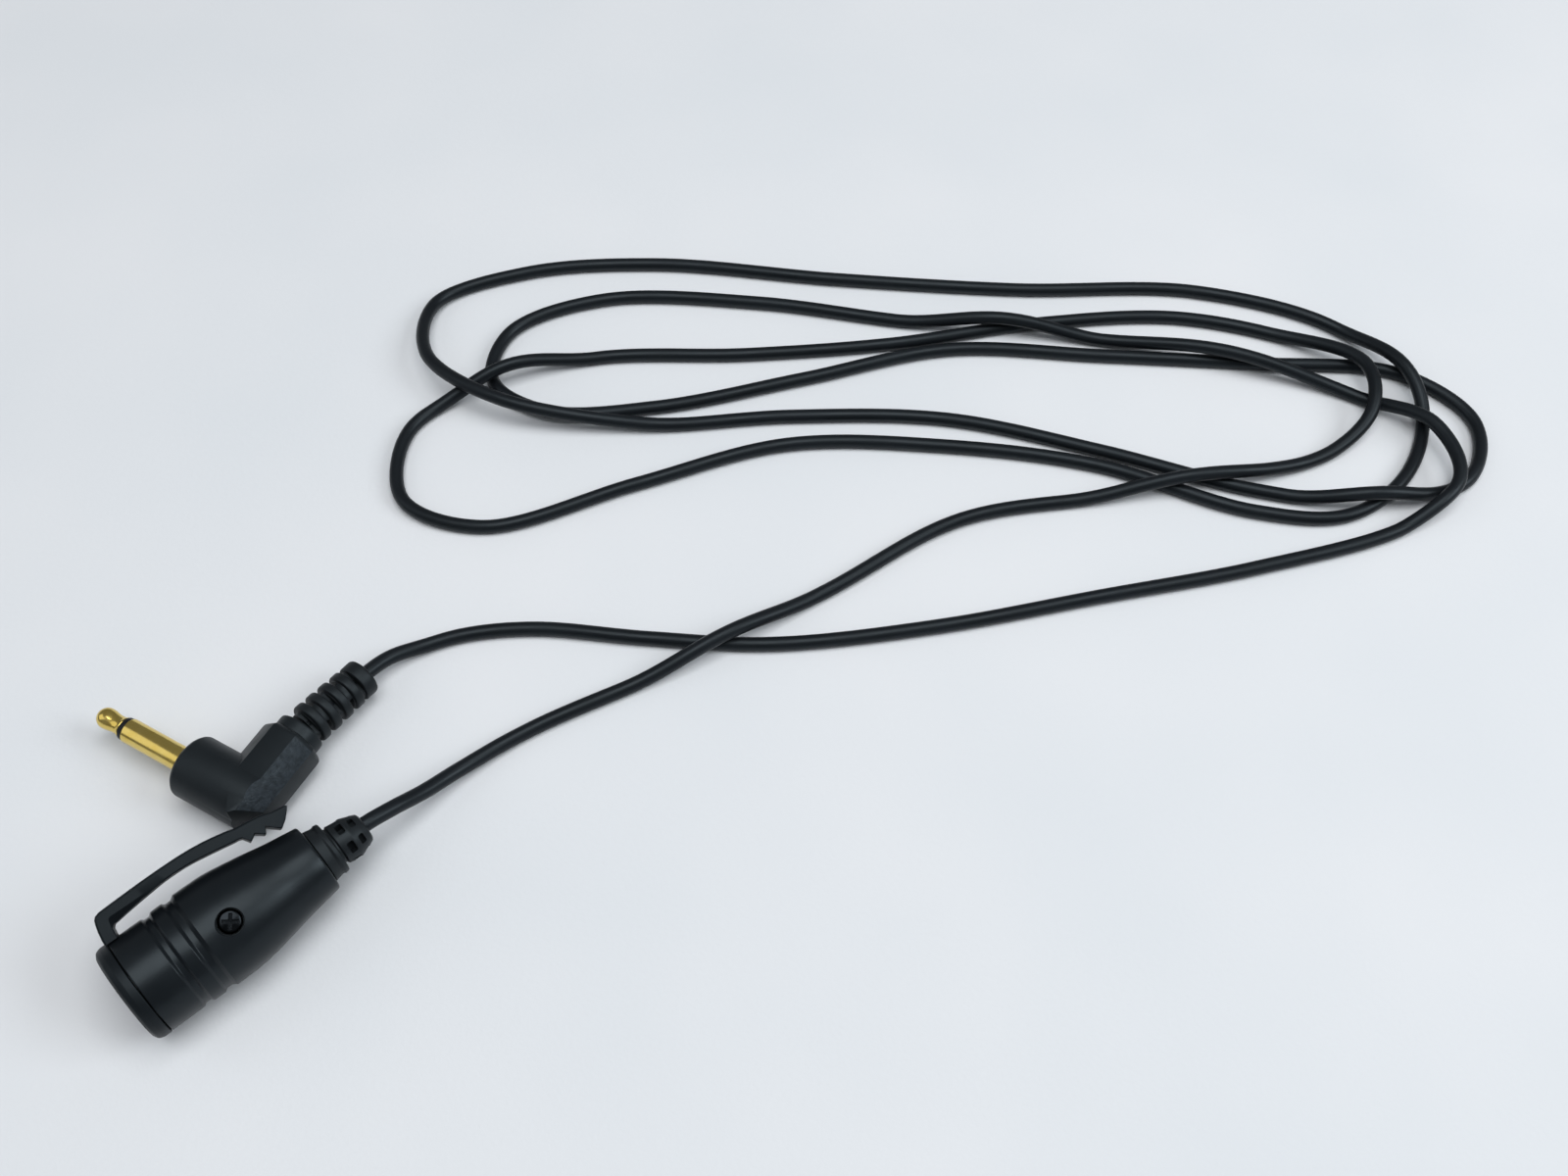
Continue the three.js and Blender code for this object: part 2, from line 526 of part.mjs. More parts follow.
// A smooth curve through the route's points, lifted where it passes over itself. It is walked in
// steps that are closer together in its bends, and one of them falls on the top of each hump.
class CordPath extends THREE.Curve {
  constructor(points, humps, steps) {
    super();
    const route = new THREE.CatmullRomCurve3(points, false, 'centripetal');
    this.samples = route.getPoints(CORD_SAMPLES);
    this.distances = [0];
    for (let i = 1; i <= CORD_SAMPLES; i++) {
      this.distances.push(this.distances[i - 1] + this.stepTo(i));
    }
    this.lift(humps);
    this.stations = this.spread(steps);
    for (const [at] of humps) this.snapStation(at);
  }

  stepTo(i) {
    return this.samples[i].distanceTo(this.samples[i - 1]);
  }

  lift(humps) {
    this.samples.forEach((point, i) => {
      point.z = Math.max(point.z, CORD_R);
      for (const [at, height, half] of humps) {
        const away = Math.abs(this.distances[i] - at) / half;
        if (away < 1) point.z += (height * (1 + Math.cos(Math.PI * away))) / 2;
      }
    });
  }

  // The samples that the steps end on, spread by distance and by how much the curve turns.
  spread(steps) {
    const weights = [0];
    for (let i = 1; i <= CORD_SAMPLES; i++) {
      weights.push(weights[i - 1] + this.stepTo(i) + BEND_WEIGHT * this.turnAt(i));
    }
    const share = weights[CORD_SAMPLES] / steps;
    return Array.from({ length: steps + 1 }, (_, step) => (
      Math.min(weights.findIndex((weight) => weight >= step * share - 1e-6), CORD_SAMPLES)
    ));
  }

  // The angle that the curve turns through at a sample, in radians.
  turnAt(i) {
    if (i >= CORD_SAMPLES) return 0;
    const before = this.samples[i].clone().sub(this.samples[i - 1]);
    return before.angleTo(this.samples[i + 1].clone().sub(this.samples[i]));
  }

  snapStation(at) {
    const sample = this.distances.findIndex((distance) => distance >= at);
    const away = this.stations.map((station) => Math.abs(station - sample));
    this.stations[away.indexOf(Math.min(...away))] = sample;
  }

  stationPoint(step) {
    const last = this.stations.length - 1;
    return this.samples[this.stations[Math.min(Math.max(step, 0), last)]];
  }

  getPointAt(u) {
    return this.stationPoint(Math.round(u * (this.stations.length - 1))).clone();
  }

  getTangentAt(u) {
    const step = Math.round(u * (this.stations.length - 1));
    return this.stationPoint(step + 1).clone().sub(this.stationPoint(step - 1)).normalize();
  }
}

function cord() {
  const route = [MICROPHONE_LEAD, TURN_1, TURN_2, TURN_3, TURN_4, PLUG_LEAD].flat();
  const points = route.map(([x, y, height = CORD_R]) => (
    new THREE.Vector3(MIC_AXIS[0] + x, MIC_AXIS[1] + y, height)
  ));
  return tube(new CordPath(points, HUMPS, CORD_STEPS), CORD_R, CORD_SIDES, CORD_STEPS);
}

// ---- The whole object ---------------------------------------------------------------------------

const lapelMicrophone = new THREE.Group();
lapelMicrophone.add(microphone());
lapelMicrophone.add(plug());
part(lapelMicrophone, 'cord', cord(), cordJacket);

export default lapelMicrophone;
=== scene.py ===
"""Looks for a clip-on microphone with a spring clip, a thin cord and a right-angle 3.5 mm plug.

Shapes are worked out in millimetres in two local frames and placed in the row frame in metres.
Microphone frame: X from the front face along the barrel, Y to the clip, Z to the screw.
Plug frame: X from the pin's tip along the pin, Y to the cord, Z up.
"""

import math

import bmesh
import bpy
import numpy as np
from mathutils import Matrix, Vector


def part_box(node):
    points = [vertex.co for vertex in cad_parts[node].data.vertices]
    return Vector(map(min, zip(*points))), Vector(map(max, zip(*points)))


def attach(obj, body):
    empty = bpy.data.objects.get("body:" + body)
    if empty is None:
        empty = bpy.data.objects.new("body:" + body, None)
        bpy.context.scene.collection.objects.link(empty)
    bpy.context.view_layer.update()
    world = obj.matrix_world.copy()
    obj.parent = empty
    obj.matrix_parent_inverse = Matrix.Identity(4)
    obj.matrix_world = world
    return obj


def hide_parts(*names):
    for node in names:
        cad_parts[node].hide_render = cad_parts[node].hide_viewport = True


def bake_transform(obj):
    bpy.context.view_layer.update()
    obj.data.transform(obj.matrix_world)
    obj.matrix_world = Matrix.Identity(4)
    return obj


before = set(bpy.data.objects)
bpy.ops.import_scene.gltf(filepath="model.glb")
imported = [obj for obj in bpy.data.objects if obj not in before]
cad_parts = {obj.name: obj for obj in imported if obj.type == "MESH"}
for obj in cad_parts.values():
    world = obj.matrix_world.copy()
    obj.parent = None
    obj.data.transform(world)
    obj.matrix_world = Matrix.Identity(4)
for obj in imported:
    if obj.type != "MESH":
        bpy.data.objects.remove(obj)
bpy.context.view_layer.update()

MM = 0.001
AROUND = 112                        # facets round the barrel
AROUND_SMALL = 72                   # facets round the plug and the strain reliefs

# Sizes and angles that the CAD model uses too, the sizes in millimetres.
ROLL = math.radians(28.4)           # how far the barrel has rolled on the table
BARREL_LENGTH = 27.3
SCREW_X = 14.5
MIC_RELIEF_END = 34.1               # where the cord leaves the microphone
CORD_R = 1.05
PLUG_TIP = Vector((16.86, 39.2))    # pin's end, from the microphone's axis at its front
PLUG_TURN = math.radians(-70.8)     # how far the plug is turned about Z
PLUG_R = 4.4
PIN_R = 1.75
PLUG_FACE = 16.2                    # shoulder that the pin comes out of
BLOCK_X = 25.9                      # axis of the eight-sided block, across the pin's axis
BLOCK_INRADIUS = 4.05
BLOCK_LOW, BLOCK_HIGH = -4.1, 9.6
BEVEL_RISE = 6.25                   # height of the outer bevels' planes above the block's axis
CORNER_CUT_X = 26.8                 # where the slanted cut meets the round part's side
COLLAR_END = 11.3
PLUG_RELIEF_START = Vector((26.0, 11.65, 0))
PLUG_RELIEF_END = Vector((27.35, 22.6, -1.1))


def box_centre(node):
    low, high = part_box(node)
    return (low + high) / 2


AXIS = box_centre("front_grille")
FRONT = Vector((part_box("clip_ring")[0].x, AXIS.y, AXIS.z))
PLUG_ORIGIN = Vector((FRONT.x + PLUG_TIP.x * MM, FRONT.y + PLUG_TIP.y * MM, PLUG_R * MM))
TO_METRES = Matrix.Scale(MM, 4)
MICROPHONE = Matrix.Translation(FRONT) @ Matrix.Rotation(ROLL, 4, "X") @ TO_METRES
PLUG = Matrix.Translation(PLUG_ORIGIN) @ Matrix.Rotation(PLUG_TURN, 4, "Z") @ TO_METRES

# The cord's route, seen from above, in metres from the barrel's axis at its front. A third number
# is the height of the cord's middle where it doesn't lie on the table.
MICROPHONE_LEAD = [
    (0.0345, 0, 0.0067), (0.0385, 0.0001, 0.0056), (0.043, 0.0004, 0.0037),
    (0.049, 0.0008, 0.002), (0.059, 0), (0.082, -0.006), (0.1055, -0.0105), (0.129, -0.0145),
    (0.1495, -0.027),
]
TURN_1 = [
    (0.17, -0.0395), (0.181, -0.0435), (0.19, -0.043), (0.196, -0.037), (0.195, -0.0275),
    (0.1845, -0.01), (0.166, 0.005), (0.1455, 0.0175), (0.1265, 0.0315), (0.108, 0.047),
    (0.0915, 0.054), (0.0775, 0.0545), (0.069, 0.044), (0.075, 0.032), (0.097, 0.023),
    (0.119, 0.0135), (0.1365, -0.0025),
]
TURN_2 = [
    (0.1515, -0.021), (0.1625, -0.0425), (0.1725, -0.0525), (0.186, -0.0535), (0.198, -0.0465),
    (0.2015, -0.029), (0.191, -0.008), (0.169, 0.0125), (0.1485, 0.034), (0.1285, 0.0565),
    (0.111, 0.0695), (0.096, 0.0735), (0.0875, 0.0635), (0.09, 0.048), (0.1045, 0.0315),
    (0.1235, 0.017), (0.141, 0.0005),
]
TURN_3 = [
    (0.154, -0.0195), (0.166, -0.0405), (0.1775, -0.054), (0.1915, -0.0605), (0.2015, -0.0545),
    (0.201, -0.041), (0.185, -0.0235), (0.1685, -0.0065), (0.1515, 0.0105), (0.13, 0.0215),
    (0.109, 0.0325), (0.0955, 0.0435), (0.093, 0.054), (0.1015, 0.0605), (0.117, 0.056),
    (0.1355, 0.0385), (0.1505, 0.0195),
]
TURN_4 = [
    (0.1665, 0.0015), (0.1805, -0.018), (0.192, -0.039), (0.194, -0.0515), (0.1885, -0.06),
    (0.177, -0.0595),
]
PLUG_LEAD = [
    (0.155, -0.0495), (0.134, -0.0375), (0.113, -0.0255), (0.0935, -0.012), (0.081, 0.0005),
    (0.07, 0.0125), (0.062, 0.0183), (0.0565, 0.0205, 0.0013), (0.0518, 0.0214, 0.0024),
    (0.0476, 0.0209, 0.0033),
]
# Where the cord passes over itself: (distance along the plan route, lift, half the hump's length).
HUMPS = [
    (0.055, 0.0024, 0.016), (0.132, 0.0026, 0.02), (0.172, 0.003, 0.019),
    (0.3135, 0.0028, 0.014), (0.528, 0.0026, 0.013), (0.718, 0.0036, 0.034),
    (0.856, 0.0026, 0.013), (1.139, 0.0025, 0.017), (1.175, 0.0026, 0.022),
    (1.209, 0.0029, 0.013), (1.221, 0.0024, 0.012),
]


# ---- Camera, light and floor --------------------------------------------------------------------

def aim(thing, place, target):
    thing.location = place
    thing.rotation_euler = (Vector(target) - Vector(place)).to_track_quat("-Z", "Y").to_euler()


def add_camera():
    camera = bpy.data.objects.new("camera", bpy.data.cameras.new("camera"))
    bpy.context.scene.collection.objects.link(camera)
    camera.data.sensor_width = 36
    camera.data.lens = 37.125
    camera.data.clip_start = 0.01
    camera.location = (-0.00246, -0.10413, 0.19601)
    camera.rotation_euler = (math.radians(33.594), 0, math.radians(-41.87))
    bpy.context.scene.camera = camera


def add_light(name, place, target, size, watts, colour=(1, 1, 1)):
    data = bpy.data.lights.new(name, "AREA")
    data.shape = "RECTANGLE"
    data.size, data.size_y = size
    data.energy = watts
    data.color = colour
    light = bpy.data.objects.new(name, data)
    bpy.context.scene.collection.objects.link(light)
    aim(light, place, target)


def add_studio():
    world = bpy.data.worlds.new("studio")
    world.use_nodes = True
    background = world.node_tree.nodes["Background"]
    background.inputs["Color"].default_value = (0.86, 0.89, 0.93, 1)
    background.inputs["Strength"].default_value = 0.24
    bpy.context.scene.world = world
    bpy.context.scene.view_settings.view_transform = "Standard"

    middle = (0.08, 0, 0)
    add_light("overhead", (0.06, -0.1, 0.85), middle, (0.75, 0.55), 5.2)
    add_light("window", (0.6, -0.62, 0.62), middle, (0.5, 0.5), 4.2, (0.95, 0.98, 1))
    add_light("fill", (-0.7, 0.6, 0.7), middle, (0.8, 0.8), 1.6, (0.95, 0.97, 1))

    bpy.ops.mesh.primitive_plane_add(size=6, location=(0.1, 0, 0))
    floor = bpy.context.object
    floor.name = "floor"
    floor.data.materials.append(floor_material())


# ---- Materials ----------------------------------------------------------------------------------

PAINTED_BLUE_REFLECTION = (0.78, 0.92, 1, 1)     # painted blue reflection: a blue tint on the black plastics' gloss, standing in for light off a blue surround


class Surface:
    """A Principled material, built from its flat values up with procedural detail."""

    def __init__(self, name, colour, roughness, metallic=0.0, specular=0.5):
        self.material = bpy.data.materials.new(name)
        self.material.use_nodes = True
        self.tree = self.material.node_tree
        self.shader = self.tree.nodes["Principled BSDF"]
        self.colour = (*colour, 1)
        self.shader.inputs["Base Color"].default_value = self.colour
        self.shader.inputs["Roughness"].default_value = roughness
        self.shader.inputs["Metallic"].default_value = metallic
        self.shader.inputs["Specular IOR Level"].default_value = specular
        self.roughness = roughness
        self.height = None

    def node(self, kind, **values):
        node = self.tree.nodes.new(kind)
        for key, value in values.items():
            socket = key.replace("_", " ").title()
            if socket in node.inputs:
                node.inputs[socket].default_value = value
            else:
                setattr(node, key, value)
        return node

    def place(self, stretch=(1, 1, 1)):
        """The surface's own coordinates, in metres, stretched along X, Y and Z."""
        where = self.node("ShaderNodeTexCoord")
        mapping = self.node("ShaderNodeMapping")
        mapping.inputs["Scale"].default_value = stretch
        self.tree.links.new(where.outputs["Object"], mapping.inputs["Vector"])
        return mapping.outputs["Vector"]

    def noise(self, size, detail=3.0, stretch=(1, 1, 1)):
        """Noise whose blotches are about size metres across."""
        node = self.node("ShaderNodeTexNoise", scale=1 / size, detail=detail)
        self.tree.links.new(self.place(stretch), node.inputs["Vector"])
        return node.outputs["Fac"]

    def between(self, value, low, high, low_in=0.3, high_in=0.7):
        node = self.node("ShaderNodeMapRange")
        node.inputs["From Min"].default_value = low_in
        node.inputs["From Max"].default_value = high_in
        node.inputs["To Min"].default_value = low
        node.inputs["To Max"].default_value = high
        self.tree.links.new(value, node.inputs["Value"])
        return node.outputs["Result"]

    def vary_roughness(self, size, amount, **options):
        value = self.between(self.noise(size, **options), self.roughness - amount,
                             self.roughness + amount)
        self.tree.links.new(value, self.shader.inputs["Roughness"])
        return self

    def vary_colour(self, size, other, **options):
        mix = self.node("ShaderNodeMix", data_type="RGBA")
        colours = [socket for socket in mix.inputs if socket.type == "RGBA"]
        colours[0].default_value = self.colour
        colours[1].default_value = (*other, 1)
        share = self.between(self.noise(size, **options), 0, 1)
        self.tree.links.new(share, mix.inputs["Factor"])
        result = [socket for socket in mix.outputs if socket.type == "RGBA"][0]
        self.tree.links.new(result, self.shader.inputs["Base Color"])
        return self

    def grain(self, size, depth, detail=2.0, stretch=(1, 1, 1)):
        """Adds bumps about size across and depth deep, both in metres."""
        bump = self.node("ShaderNodeBump", strength=1.0, distance=depth)
        self.tree.links.new(self.noise(size, detail, stretch), bump.inputs["Height"])
        if self.height:
            self.tree.links.new(self.height, bump.inputs["Normal"])
        self.height = bump.outputs["Normal"]
        self.tree.links.new(self.height, self.shader.inputs["Normal"])
        return self


def moulded_plastic(name, colour, roughness, specular=0.22, grain_depth=0.000006):
    surface = Surface(name, colour, roughness, specular=specular)
    surface.shader.inputs["Specular Tint"].default_value = PAINTED_BLUE_REFLECTION
    surface.vary_roughness(0.004, 0.05)
    surface.vary_colour(0.006, tuple(value * 1.25 for value in colour))
    return surface.grain(0.00022, grain_depth).material


def textured_plastic():
    # Its near black is the plastic's own; the blue cast in its colour and blotches is painted
    # reflection of a blue surround.
    surface = Surface("textured_plastic", (0.0075, 0.0098, 0.0125), 0.5, specular=0.3)
    surface.shader.inputs["Specular Tint"].default_value = PAINTED_BLUE_REFLECTION
    surface.vary_roughness(0.0006, 0.12)
    surface.vary_colour(0.0007, (0.021, 0.027, 0.034))
    return surface.grain(0.0003, 0.0001, detail=4).material


def soft_vinyl(name, colour, roughness):
    surface = Surface(name, colour, roughness, specular=0.24)
    surface.shader.inputs["Specular Tint"].default_value = PAINTED_BLUE_REFLECTION
    surface.vary_roughness(0.006, 0.06)
    surface.vary_colour(0.01, tuple(value * 1.35 for value in colour))
    surface.grain(0.0009, 0.00001)
    return surface.grain(0.00018, 0.000004).material


def gold_plating():
    surface = Surface("gold_plating", (0.74, 0.53, 0.12), 0.19, metallic=1)
    surface.vary_roughness(0.0015, 0.05)
    surface.vary_colour(0.002, (0.78, 0.6, 0.19))
    return surface.grain(0.00015, 0.0000012).material


def plain_metal(name, colour, roughness):
    surface = Surface(name, colour, roughness, metallic=1)
    surface.vary_roughness(0.001, 0.07)
    return surface.grain(0.0003, 0.000003).material


def open_foam():
    surface = Surface("open_foam", (0.012, 0.012, 0.013), 0.95)
    surface.vary_colour(0.0005, (0.03, 0.03, 0.032))
    return surface.grain(0.0004, 0.0002, detail=5).material


def circuit_board():
    surface = Surface("circuit_board", (0.03, 0.12, 0.05), 0.35)
    surface.vary_colour(0.0012, (0.02, 0.08, 0.035))
    return surface.grain(0.0005, 0.00001).material


def wire_cover(name, colour, metallic=0.0):
    surface = Surface(name, colour, 0.4, metallic=metallic)
    surface.vary_roughness(0.001, 0.08)
    return surface.grain(0.0003, 0.00001).material


def floor_material():
    surface = Surface("pale_paper", (0.68, 0.71, 0.74), 0.85, specular=0.2)
    surface.vary_colour(0.05, (0.72, 0.74, 0.765), detail=2)
    return surface.grain(0.0008, 0.00003).material


# The black plastics', vinyls' and black steel's colours below are their own near black with a
# painted blue cast, standing in for reflection of a blue surround.
SHELL = moulded_plastic("shell_plastic", (0.005, 0.0065, 0.008), 0.33, 0.24)
CLIP = moulded_plastic("clip_plastic", (0.005, 0.0065, 0.008), 0.44, 0.17)
PLUG_BODY = moulded_plastic("plug_plastic", (0.0065, 0.0083, 0.0098), 0.44, 0.26, 0.00001)
PLUG_TEXTURE = textured_plastic()
RELIEF = soft_vinyl("soft_black", (0.007, 0.0085, 0.0098), 0.46)
JACKET = soft_vinyl("cord_jacket", (0.005, 0.0062, 0.0078), 0.4)
GOLD = gold_plating()
BLACK_STEEL = plain_metal("black_steel", (0.011, 0.013, 0.015), 0.24)
GRILLE = plain_metal("grille_metal", (0.03, 0.03, 0.032), 0.45)
ALUMINIUM = plain_metal("aluminium", (0.66, 0.67, 0.69), 0.3)
GOLD_FILM = plain_metal("gold_film", (0.8, 0.62, 0.3), 0.2)
FOAM = open_foam()
INSULATOR = moulded_plastic("insulator", (0.008, 0.008, 0.009), 0.4)
BOARD = circuit_board()
RED_WIRE = wire_cover("red_wire", (0.35, 0.03, 0.02))
BARE_WIRE = wire_cover("bare_wire", (0.75, 0.4, 0.22), metallic=1.0)


# ---- Mesh helpers -------------------------------------------------------------------------------

def rounded(corners, closed=True, steps=4):
    """An outline with its corners rounded. A corner is (x, y) or (x, y, radius)."""
    count = len(corners)
    outline = []
    for i, corner in enumerate(corners):
        here = Vector(corner[:2])
        radius = corner[2] if len(corner) > 2 else 0
        if radius == 0 or (not closed and i in (0, count - 1)):
            outline.append(here)
            continue
        to_last = (Vector(corners[i - 1][:2]) - here)
        to_next = (Vector(corners[(i + 1) % count][:2]) - here)
        half = to_last.angle(to_next) / 2
        reach = min(radius / math.tan(half), to_last.length * 0.49, to_next.length * 0.49)
        start = here + to_last.normalized() * reach
        end = here + to_next.normalized() * reach
        for step in range(steps + 1):
            t = step / steps
            outline.append(start.lerp(here, t).lerp(here.lerp(end, t), t))
    return outline


def smooth_line(points, count):
    """Points along a smooth curve through the given ones, which can have any number of values."""
    points = np.array(points, float)
    ends = [2 * points[0] - points[1], *points, 2 * points[-1] - points[-2]]
    result = []
    for i in range(len(points) - 1):
        a, b, c, d = ends[i:i + 4]
        for step in range(count):
            t = step / count
            result.append(0.5 * (2 * b + (c - a) * t + (2 * a - 5 * b + 4 * c - d) * t ** 2
                                 + (3 * b - 3 * c + d - a) * t ** 3))
    result.append(points[-1])
    return [tuple(point) for point in result]


def new_piece(name, bm, place, material, smooth_angle=32):
    """Turns a bmesh in a local frame into an object in the row frame."""
    bmesh.ops.remove_doubles(bm, verts=bm.verts, dist=1e-4)
    bmesh.ops.recalc_face_normals(bm, faces=bm.faces)
    mesh = bpy.data.meshes.new(name)
    bm.to_mesh(mesh)
    bm.free()
    mesh.transform(place)
    mesh.materials.append(material)
    mesh.shade_smooth()
    mesh.set_sharp_from_angle(angle=math.radians(smooth_angle))
    piece = bpy.data.objects.new(name, mesh)
    bpy.context.scene.collection.objects.link(piece)
    return piece


def lathe(profile, segments=AROUND, start=0.0, sweep=math.tau):
    """A solid of revolution about X. The profile closes on itself, or starts and ends on the
    axis; a part turn is closed with flat ends."""
    bm = bmesh.new()
    whole = math.isclose(sweep, math.tau)
    on_axis = profile[0][1] < 1e-6
    angles = [start + sweep * i / segments for i in range(segments + (not whole))]
    rings = []
    for angle in angles:
        turn = (math.cos(angle), math.sin(angle))
        rings.append([bm.verts.new((x, r * turn[0], r * turn[1])) for x, r in profile])
    spans = len(profile) - on_axis
    for i in range(segments):
        here, there = rings[i], rings[(i + 1) % len(rings)]
        for j in range(spans):
            k = (j + 1) % len(profile)
            corners = [here[j], here[k], there[k], there[j]]
            if profile[j][1] < 1e-6:
                corners = corners[:3]
            elif profile[k][1] < 1e-6:
                corners = [here[j], here[k], there[j]]
            bm.faces.new(corners)
    if not whole:
        bm.faces.new(rings[0])
        bm.faces.new(rings[-1][::-1])
    return bm


def prism(outline, low, high):
    """A plate with its outline in the XY plane."""
    bm = bmesh.new()
    bottom = [bm.verts.new((x, y, low)) for x, y in outline]
    top = [bm.verts.new((x, y, high)) for x, y in outline]
    bm.faces.new(bottom[::-1])
    bm.faces.new(top)
    count = len(outline)
    for i in range(count):
        j = (i + 1) % count
        bm.faces.new([bottom[i], bottom[j], top[j], top[i]])
    return bm


def cylinder(radius, low, high, matrix, segments=48):
    bm = bmesh.new()
    bmesh.ops.create_cone(bm, cap_ends=True, segments=segments, radius1=radius, radius2=radius,
                          depth=high - low,
                          matrix=matrix @ Matrix.Translation((0, 0, (low + high) / 2)))
    return bm


def cuboid(low, high, matrix=Matrix.Identity(4)):
    low, high = Vector(low), Vector(high)
    bm = bmesh.new()
    size = Matrix.Diagonal((*(high - low), 1))
    bmesh.ops.create_cube(bm, size=1, matrix=matrix @ Matrix.Translation((low + high) / 2) @ size)
    return bm


def combine(base, tools, operation):
    """The first bmesh joined with or cut by the others."""
    def to_object(bm, name):
        bmesh.ops.recalc_face_normals(bm, faces=bm.faces)
        mesh = bpy.data.meshes.new(name)
        bm.to_mesh(mesh)
        bm.free()
        thing = bpy.data.objects.new(name, mesh)
        bpy.context.scene.collection.objects.link(thing)
        return thing

    thing = to_object(base, "base")
    helpers = [to_object(tool, "tool") for tool in tools]
    for helper in helpers:
        modifier = thing.modifiers.new("combine", "BOOLEAN")
        modifier.operation = operation
        modifier.solver = "EXACT"
        modifier.object = helper
    mesh = bpy.data.meshes.new_from_object(
        thing.evaluated_get(bpy.context.evaluated_depsgraph_get()))
    result = bmesh.new()
    result.from_mesh(mesh)
    for old in [thing, *helpers]:
        bpy.data.objects.remove(old)
    return result


def finish_piece(piece, body, slot, *nodes):
    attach(piece, body)
    if nodes:
        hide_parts(*nodes)
    return piece


# ---- The cord -----------------------------------------------------------------------------------

def centripetal(points, steps):
    """A centripetal Catmull-Rom curve through the points, steps to each span."""
    ends = [2 * points[0] - points[1], *points, 2 * points[-1] - points[-2]]
    curve = []
    for i in range(len(points) - 1):
        p0, p1, p2, p3 = ends[i:i + 4]
        d0, d1, d2 = ((b - a).length ** 0.5 for a, b in ((p0, p1), (p1, p2), (p2, p3)))
        m1 = ((p1 - p0) / d0 - (p2 - p0) / (d0 + d1) + (p2 - p1) / d1) * d1
        m2 = ((p2 - p1) / d1 - (p3 - p1) / (d1 + d2) + (p3 - p2) / d2) * d1
        for step in range(steps):
            t = step / steps
            curve.append(p1 + m1 * t + (3 * (p2 - p1) - 2 * m1 - m2) * t ** 2
                         + (2 * (p1 - p2) + m1 + m2) * t ** 3)
    curve.append(points[-1])
    return curve


SPAN_STEPS = 16                     # points of the cord's line to each span of its route


def cord_line():
    """The cord from its end inside the microphone, along the route, to its end in the plug."""
    lying = CORD_R * MM
    start_x, in_relief_x = 24.9, 29.5
    in_block_y, end_y = 8, 3.6
    in_microphone = [MICROPHONE @ Vector((x, 0, 0)) for x in (start_x, in_relief_x)]
    in_plug = [PLUG @ PLUG_RELIEF_START, PLUG @ Vector((BLOCK_X, in_block_y, 0)),
               PLUG @ Vector((BLOCK_X, end_y, 0))]
    route = [*MICROPHONE_LEAD, *TURN_1, *TURN_2, *TURN_3, *TURN_4, *PLUG_LEAD]
    free = [Vector((FRONT.x + p[0], FRONT.y + p[1], p[2] if len(p) > 2 else lying))
            for p in route]
    line = centripetal([*in_microphone, *free, *in_plug], SPAN_STEPS)
    travelled = 0.0
    for i in range(len(in_microphone) * SPAN_STEPS + 1, len(line)):
        point = line[i]
        travelled += (point.xy - line[i - 1].xy).length
        point.z = max(point.z, lying)
        for at, lift, half in HUMPS:
            away = abs(travelled - at) / half
            if away < 1:
                point.z += lift * (1 + math.cos(math.pi * away)) / 2
    return line


def add_cord(name, line):
    data = bpy.data.curves.new(name, "CURVE")
    data.dimensions = "3D"
    data.bevel_depth = CORD_R * MM
    data.bevel_resolution = 5
    data.use_fill_caps = True
    spline = data.splines.new("POLY")
    spline.points.add(len(line) - 1)
    for point, place in zip(spline.points, line):
        point.co = (*place, 1)
    spline.use_smooth = True
    data.materials.append(JACKET)
    piece = bpy.data.objects.new(name, data)
    bpy.context.scene.collection.objects.link(piece)
    return piece


# ---- The microphone -----------------------------------------------------------------------------

def shell_profile():
    """The shells' closed half section: outside from the front, then inside back to it."""
    taper = smooth_line([(11.0, 6.8), (14.5, 6.76), (17.2, 6.42), (20, 5.92), (22.8, 5.36),
                         (25.6, 4.93)], 5)
    outside = [
        (1.2, 5.75), (1.5, 5.75), (1.5, 5.2), (2.14, 5.2), (2.14, 6.58, 0.12),
        (6.5, 6.58, 0.25), (6.85, 6.3, 0.2), (7.5, 6.3, 0.25), (7.85, 6.66, 0.25),
        (9.35, 6.7, 0.25), (9.75, 6.38, 0.25), (10.5, 6.42, 0.3),
    ]
    rear = [(BARREL_LENGTH, 4.68, 0.4), (BARREL_LENGTH, 2.8)]
    inside = [
        (25.6, 2.8), (25.6, 3.9), (20, 4.5), (11.5, 5.4), (10.4, 5.4), (10.4, 4.9), (9.6, 4.9),
        (9.6, 5.6), (3.1, 5.6), (3.1, 4.75), (1.2, 4.75),
    ]
    return rounded([*outside, *taper, *rear, *inside])


def half_shell(start):
    """Half of the barrel's wall, from a start angle round X, short of its parting lines."""
    slit = math.radians(0.35)
    return lathe(shell_profile(), AROUND // 2, start + slit, math.pi - 2 * slit)


def shell(name, bm, node):
    piece = new_piece(name, bm, MICROPHONE, SHELL)
    return finish_piece(piece, "microphone", "shell_plastic", node)


AT_SCREW = Matrix.Translation((SCREW_X, 0, 0))


def with_screw_hole(bm):
    """The upper shell with its boss, and the hole that the screw's head sits in."""
    boss = cylinder(2.8, 0.06, 5.5, AT_SCREW)
    hole = cylinder(1.68, 4.9, 8, AT_SCREW)
    bore = cylinder(1.15, -1, 6, AT_SCREW)
    return combine(combine(bm, [boss], "UNION"), [hole, screw_hole_mouth(), bore], "DIFFERENCE")


def screw_hole_mouth():
    """A shallow cone that softens the mouth of the screw's hole."""
    bm = bmesh.new()
    bmesh.ops.create_cone(bm, cap_ends=True, segments=48, radius1=1.6, radius2=2.0, depth=0.4,
                          matrix=Matrix.Translation((SCREW_X, 0, 6.76)))
    return bm


